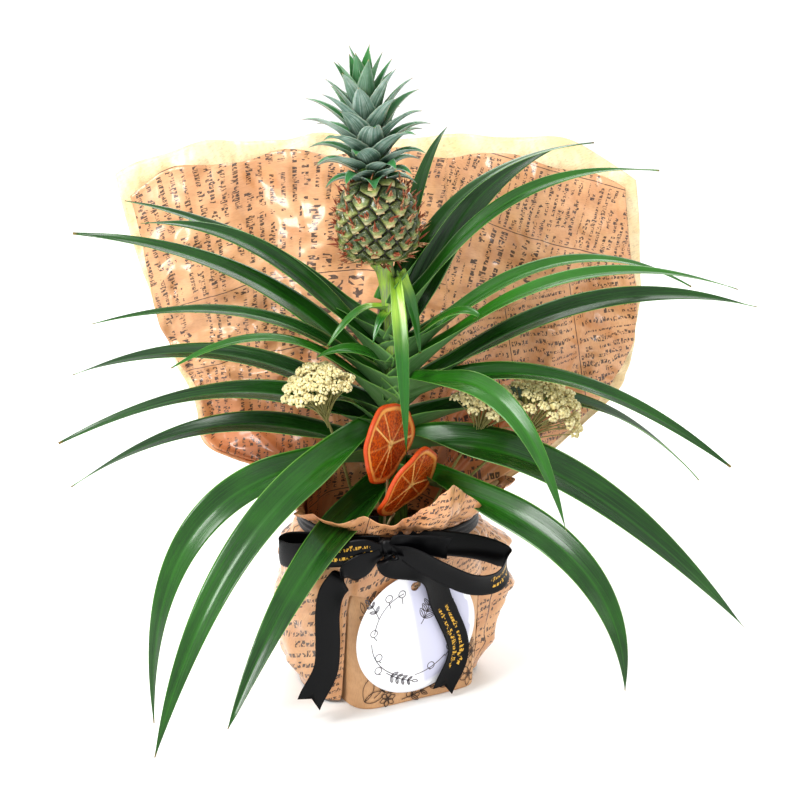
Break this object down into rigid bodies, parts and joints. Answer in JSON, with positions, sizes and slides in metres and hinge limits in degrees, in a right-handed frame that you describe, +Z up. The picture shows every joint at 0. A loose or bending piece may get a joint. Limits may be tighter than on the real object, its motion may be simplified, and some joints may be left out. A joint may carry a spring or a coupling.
{
  "type": "potted pineapple plant",
  "caption": "Fruiting pineapple plant in a nursery pot, gift wrapped in flared kraft paper with a ribbon, round tag, dried orange slices and yarrow; stands on its flat base.",
  "frame": {"origin": "middle of the wrapped pot's base, on the surface that it stands on", "axes": "+X to the right, +Y to the back of the wrapping, +Z up along the pot's axis"},
  "size_m": [0.627, 0.4036, 0.5878],
  "materials": {
    "leaf": "glossy living leaf, deep green, paler beneath",
    "young_leaf": "satin living leaf, yellow green",
    "stem": "matte green and brown",
    "stalk": "satin yellow green",
    "fruit": "matte green rind with dark grooves",
    "crown": "satin, grey green with a waxy bloom",
    "pot": "matte black",
    "soil": "matte, crumbly",
    "sleeve_paper": "matte brown kraft with a fine leaf print",
    "newsprint_paper": "waxed brown kraft printed all over with rows of marks",
    "cream_paper": "waxed cream paper, lets light through",
    "ribbon": "black satin with small gold marks",
    "tag_card": "coated white card with a thin printed wreath",
    "twine": "matte jute",
    "dried_orange": "leathery peel, translucent dried flesh",
    "pick": "plain bamboo",
    "dried_yarrow": "matte, papery"
  },
  "bodies": {
    "root": {"nursery_pot": "pot", "potting_soil": "soil", "plant_stem": "stem", "leaf_left_1": "leaf", "leaf_left_2": "leaf", "leaf_left_3": "leaf", "leaf_left_4": "leaf", "leaf_left_5": "leaf", "leaf_left_6": "leaf", "leaf_left_7": "leaf", "leaf_left_8": "leaf", "leaf_front_left_1": "leaf", "leaf_front_left_2": "leaf", "leaf_front_left_3": "leaf", "leaf_back_right_1": "leaf", "leaf_back_right_2": "leaf", "leaf_back_right_3": "leaf", "leaf_right_4": "leaf", "leaf_right_5": "leaf", "leaf_right_6": "leaf", "leaf_right_7": "leaf", "leaf_right_8": "leaf", "leaf_right_9": "leaf", "leaf_right_10": "leaf", "leaf_front_right_1": "leaf", "leaf_front_right_2": "leaf", "leaf_front_right_3": "leaf", "leaf_inner_left": "leaf", "leaf_inner_low": "leaf", "leaf_inner_back": "leaf", "fruit_stalk": "stalk", "stalk_leaf_front": "young_leaf", "stalk_leaf_left": "young_leaf", "stalk_leaf_left_thin": "young_leaf", "stalk_leaf_right": "young_leaf", "pineapple_fruit": "fruit", "fruit_crown": "crown", "printed_sleeve": "sleeve_paper", "newsprint_wrap": "newsprint_paper", "back_sheet_outer": "cream_paper", "back_sheet_inner": "newsprint_paper", "ribbon_band": "ribbon", "ribbon_knot": "ribbon", "ribbon_loop_left": "ribbon", "ribbon_loop_right": "ribbon", "ribbon_tail_left": "ribbon", "ribbon_tail_right": "ribbon", "round_tag": "tag_card", "tag_twine": "twine", "orange_slice_upper": "dried_orange", "slice_pick_upper": "pick", "orange_slice_lower": "dried_orange", "slice_pick_lower": "pick", "yarrow_left": "dried_yarrow", "yarrow_right_front": "dried_yarrow", "yarrow_right_back": "dried_yarrow"}
  },
  "joints": []
}
